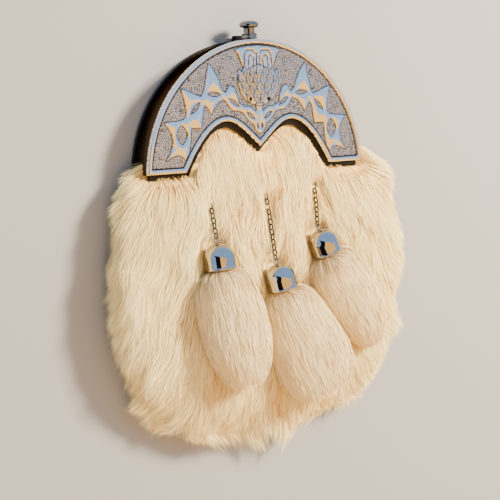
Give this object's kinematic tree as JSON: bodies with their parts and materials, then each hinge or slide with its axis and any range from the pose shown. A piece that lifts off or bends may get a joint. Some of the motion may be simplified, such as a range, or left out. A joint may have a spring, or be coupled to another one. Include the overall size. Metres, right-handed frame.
{
  "type": "dress sporran pouch",
  "caption": "Fur-fronted belt pouch with an arched relief metal mount, a push-button clasp, hanging chains with bell caps and fur tassels.",
  "frame": {"origin": "centre of the bounding box, on the plane that the belt loops rest on", "axes": "+X to the viewer's right, +Y towards the clasp button, +Z out of the fur front"},
  "size_m": [0.2146, 0.2404, 0.0456],
  "materials": {
    "antique_metal": "bright plated relief over a pebbled ground darkened in its hollows",
    "dark_metal": "polished dark nickel",
    "chain_metal": "polished dark nickel links",
    "bell_chrome": "mirror-polished chrome",
    "black_leather": "smooth black leather with a fine grain",
    "body_fur": "deep cream fur",
    "tassel_fur": "soft pale fur"
  },
  "bodies": {
    "body": {"cantle_plate": "antique_metal", "cantle_band": "dark_metal", "cantle_backing": "black_leather", "button_collar": "dark_metal", "pouch_back": "black_leather", "pouch_gusset": "black_leather", "pouch_front": "black_leather", "belt_loop_left": "black_leather", "belt_loop_right": "black_leather", "fur_front": "body_fur", "chain_left": "chain_metal", "chain_middle": "chain_metal", "chain_right": "chain_metal", "anchor_left": "chain_metal", "anchor_middle": "chain_metal", "anchor_right": "chain_metal", "bell_left": "bell_chrome", "bell_middle": "bell_chrome", "bell_right": "bell_chrome", "tassel_left": "tassel_fur", "tassel_middle": "tassel_fur", "tassel_right": "tassel_fur"},
    "button": {"push_button": "dark_metal"}
  },
  "joints": [
    {"name": "button_press", "type": "slide", "parent": "body", "child": "button", "axis": [0, -1, 0], "range_m": [0, 0.0025], "stiffness_N_per_m": 400, "springref_m": -0.002}
  ]
}
